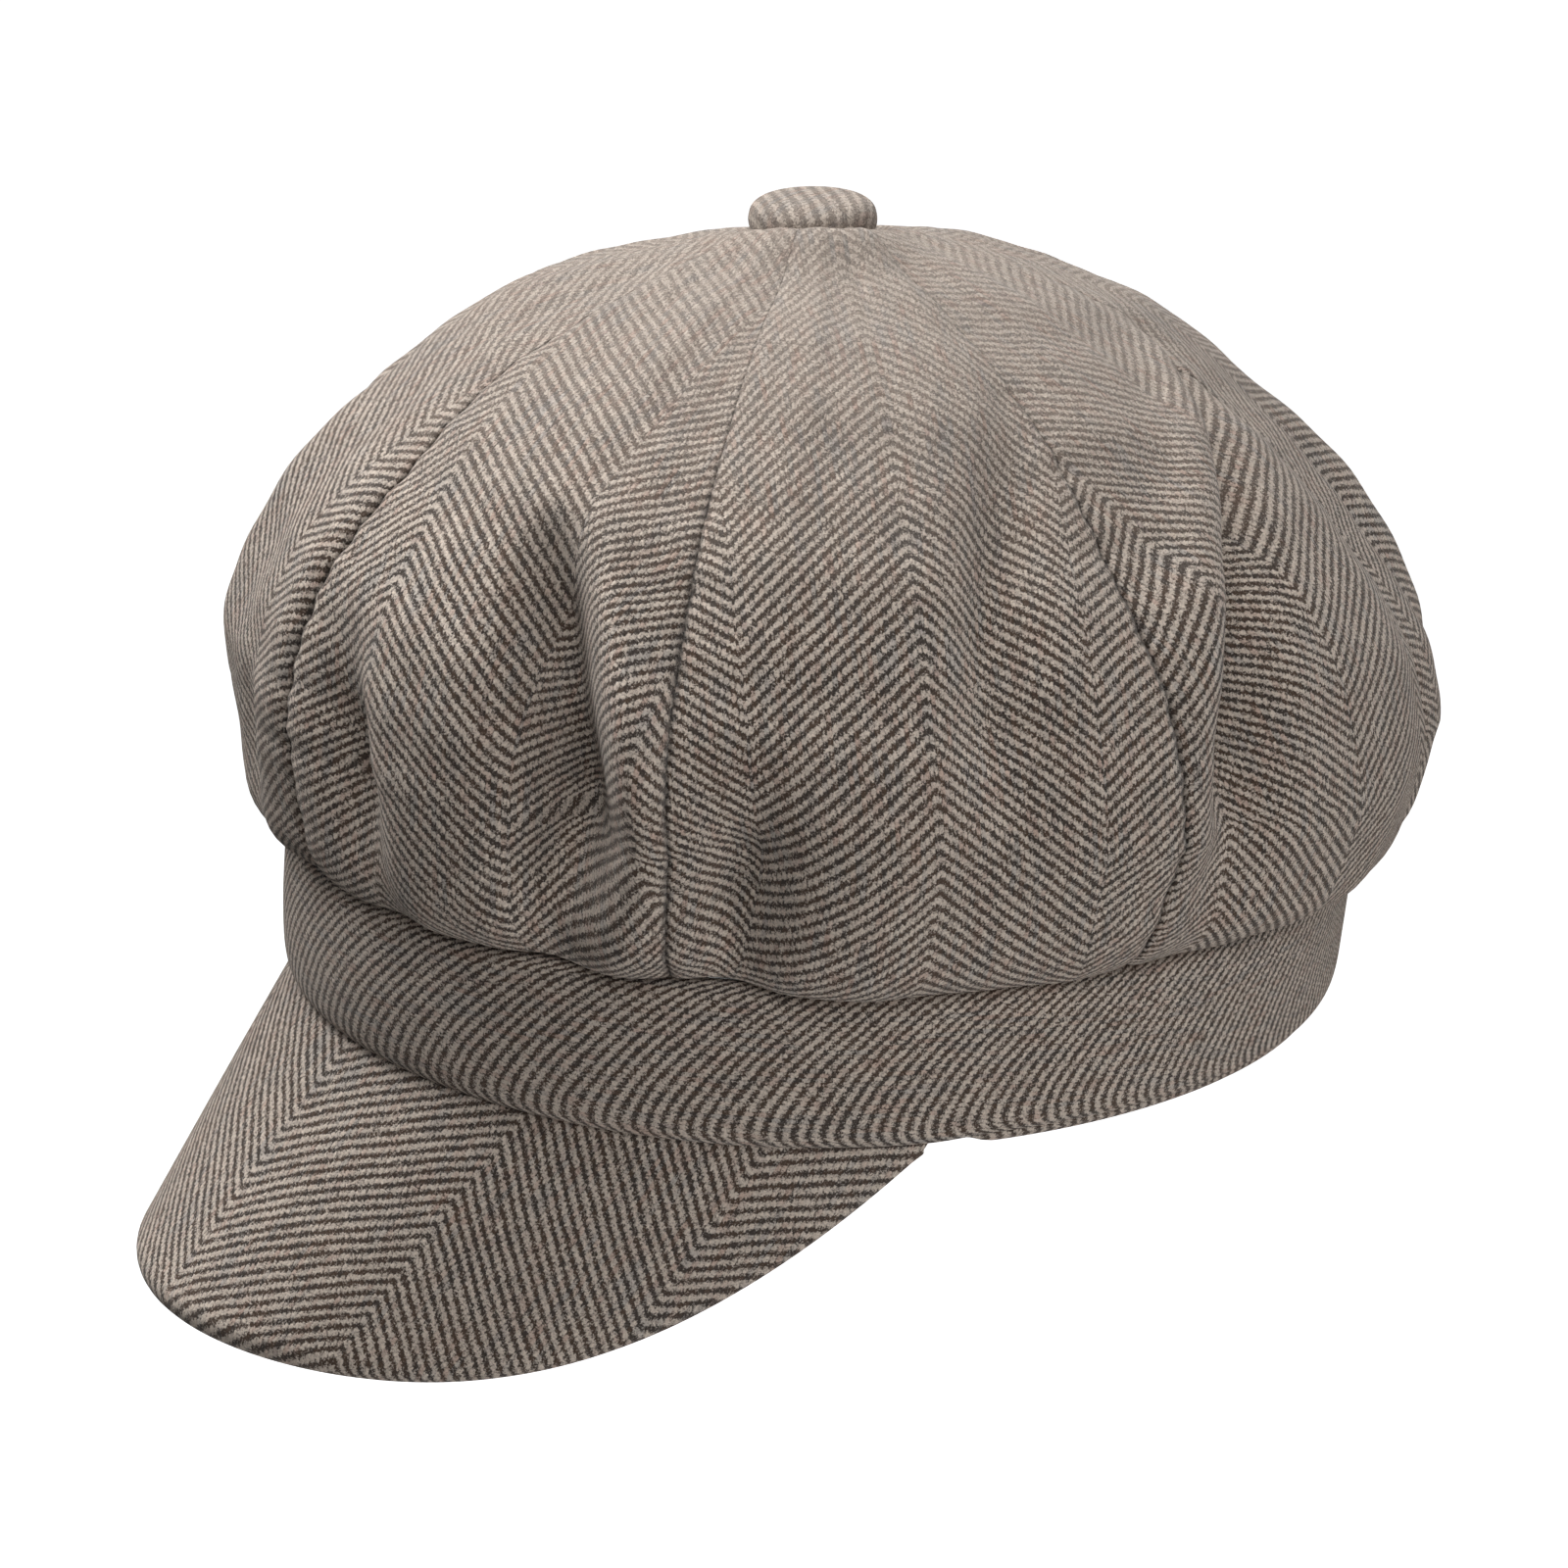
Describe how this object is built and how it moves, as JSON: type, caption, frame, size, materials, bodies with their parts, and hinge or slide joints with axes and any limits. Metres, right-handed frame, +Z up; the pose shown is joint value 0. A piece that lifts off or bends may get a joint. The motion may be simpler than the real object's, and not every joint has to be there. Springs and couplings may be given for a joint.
{
  "type": "newsboy cap",
  "caption": "Round full-crown cap of gored panels gathered over a narrow band, with a short sloping peak and a covered button on top.",
  "frame": {"origin": "centre of the head opening, in the plane of the band's lower edge", "axes": "+Z up through the crown, front of the cap (the peak) towards -Y, +X to the wearer's left"},
  "size_m": [0.2, 0.258, 0.1958],
  "materials": {
    "crown_cloth": "brushed wool herringbone, grey-brown and oatmeal, matte with a fine nap",
    "band_cloth": "the same herringbone cut with its stripes running round the band",
    "peak_cloth": "the same herringbone with its stripes running from the seam to the rim",
    "button_cloth": "the same herringbone pulled over the button",
    "lining_satin": "dark charcoal-brown satin weave",
    "stiffener": "white non-woven stiffener",
    "sweatband_ribbon": "dark grosgrain ribbon",
    "peak_board": "white polythene peak board",
    "button_metal": "plain pressed metal"
  },
  "bodies": {
    "cap": {"crown_panel_1": "crown_cloth", "crown_panel_2": "crown_cloth", "crown_panel_3": "crown_cloth", "crown_panel_4": "crown_cloth", "crown_panel_5": "crown_cloth", "crown_panel_6": "crown_cloth", "crown_panel_7": "crown_cloth", "crown_panel_8": "crown_cloth", "lining_panel_1": "lining_satin", "lining_panel_2": "lining_satin", "lining_panel_3": "lining_satin", "lining_panel_4": "lining_satin", "lining_panel_5": "lining_satin", "lining_panel_6": "lining_satin", "lining_panel_7": "lining_satin", "lining_panel_8": "lining_satin", "band_outer": "band_cloth", "band_stiffener": "stiffener", "sweatband": "sweatband_ribbon"},
    "peak": {"peak_upper": "peak_cloth", "peak_board": "peak_board", "peak_lower": "peak_cloth"},
    "button": {"button_cover": "button_cloth", "button_shell": "button_metal", "button_back": "button_metal", "button_washer": "button_metal"}
  },
  "joints": [
    {"name": "peak_flex", "type": "hinge", "parent": "cap", "child": "peak", "pos_m": [0, -0.105, -0.0005], "axis": [-1, 0, 0], "range_deg": [0, 12], "stiffness_Nm_per_rad": 2},
    {"name": "button_swivel", "type": "hinge", "parent": "cap", "child": "button", "pos_m": [0, -0.0153, 0.1382], "axis": [0, -0.0958, 0.9954], "range_deg": [-40, 40], "stiffness_Nm_per_rad": 0.002}
  ]
}
